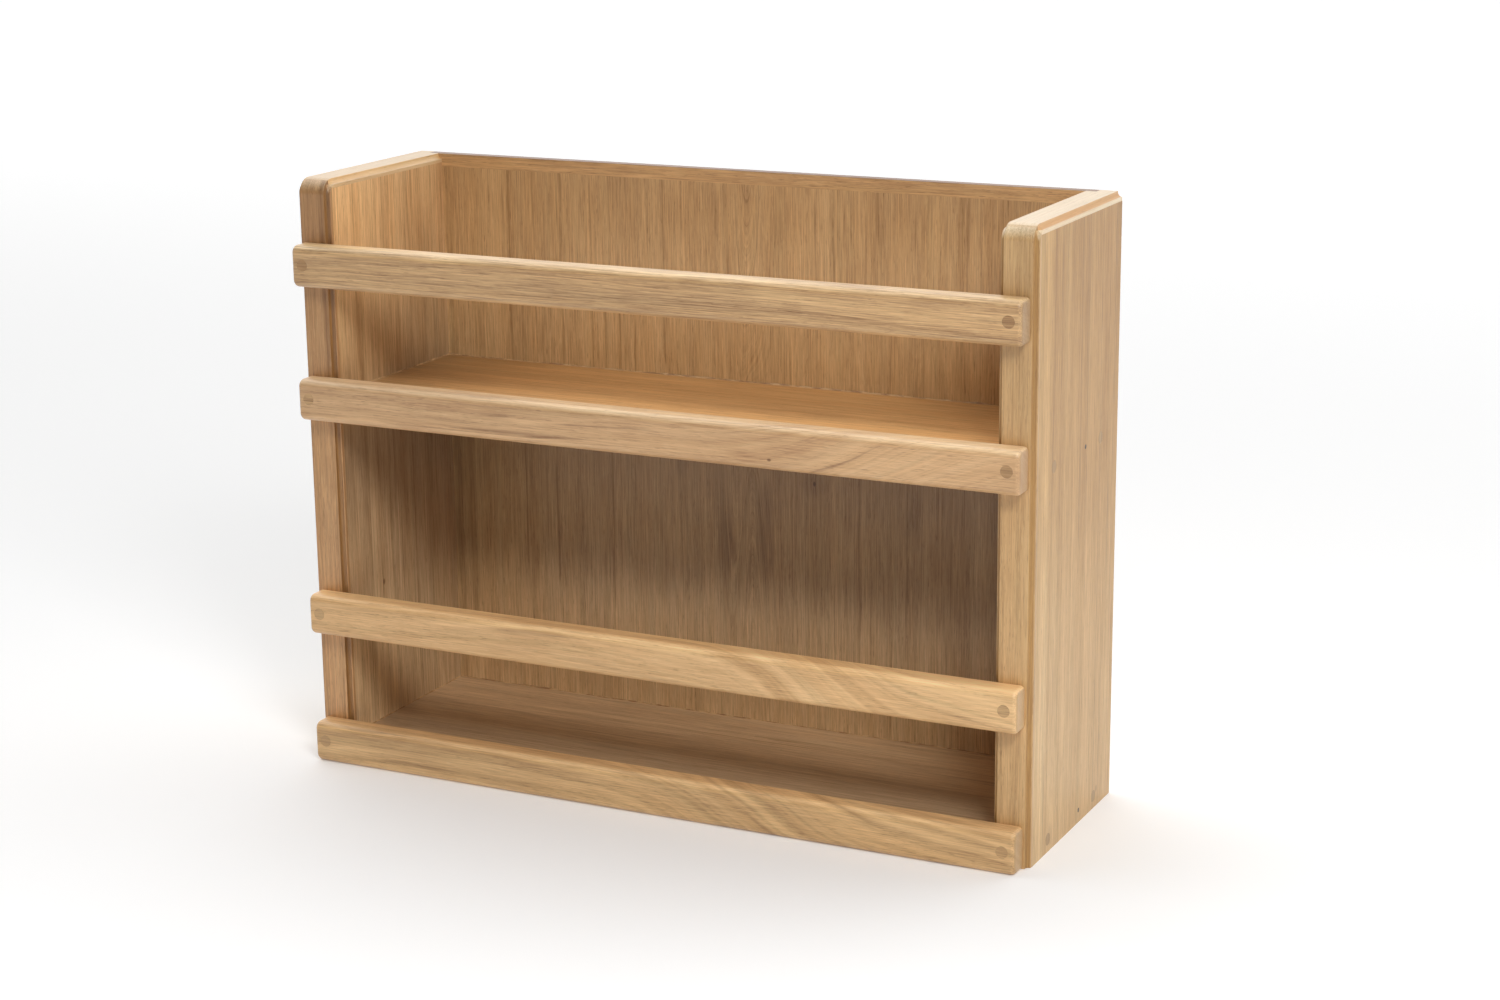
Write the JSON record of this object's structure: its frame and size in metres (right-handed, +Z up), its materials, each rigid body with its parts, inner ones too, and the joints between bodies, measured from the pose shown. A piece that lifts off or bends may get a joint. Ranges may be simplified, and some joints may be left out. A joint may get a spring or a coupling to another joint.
{
  "type": "magazine rack",
  "caption": "Wooden two-tier magazine rack with solid sides and back, an upper and a lower compartment, and horizontal front rails that keep the magazines in.",
  "frame": {"origin": "middle of the footprint at the bottom", "axes": "+X to the right seen from the front, +Y to the back, +Z up; the rails face -Y"},
  "size_m": [0.52, 0.165, 0.4],
  "materials": {
    "side_veneer": "satin oiled teak veneer, vertical grain",
    "side_lipping": "satin oiled solid teak",
    "back_veneer": "satin oiled teak veneer, vertical grain with dark figure",
    "back_lipping": "satin oiled solid teak",
    "shelf_veneer": "satin oiled teak veneer, grain along the width",
    "rail_teak": "satin oiled solid teak, grain along the width",
    "plug_teak": "satin oiled teak plug",
    "screw_brass": "brushed brass",
    "pin_steel": "dulled steel"
  },
  "bodies": {
    "root": {"left_side_board": "side_veneer", "left_front_lipping": "side_lipping", "left_top_lipping": "side_lipping", "right_side_board": "side_veneer", "right_front_lipping": "side_lipping", "right_top_lipping": "side_lipping", "back_panel": "back_veneer", "back_top_lipping": "back_lipping", "lower_shelf": "shelf_veneer", "upper_shelf": "shelf_veneer", "bottom_rail": "rail_teak", "middle_rail": "rail_teak", "upper_shelf_rail": "rail_teak", "top_rail": "rail_teak", "rail_screws": "screw_brass", "rail_plugs": "plug_teak", "shelf_screws": "screw_brass", "shelf_plugs": "plug_teak", "shelf_pins": "pin_steel", "back_screws": "screw_brass"}
  },
  "joints": []
}
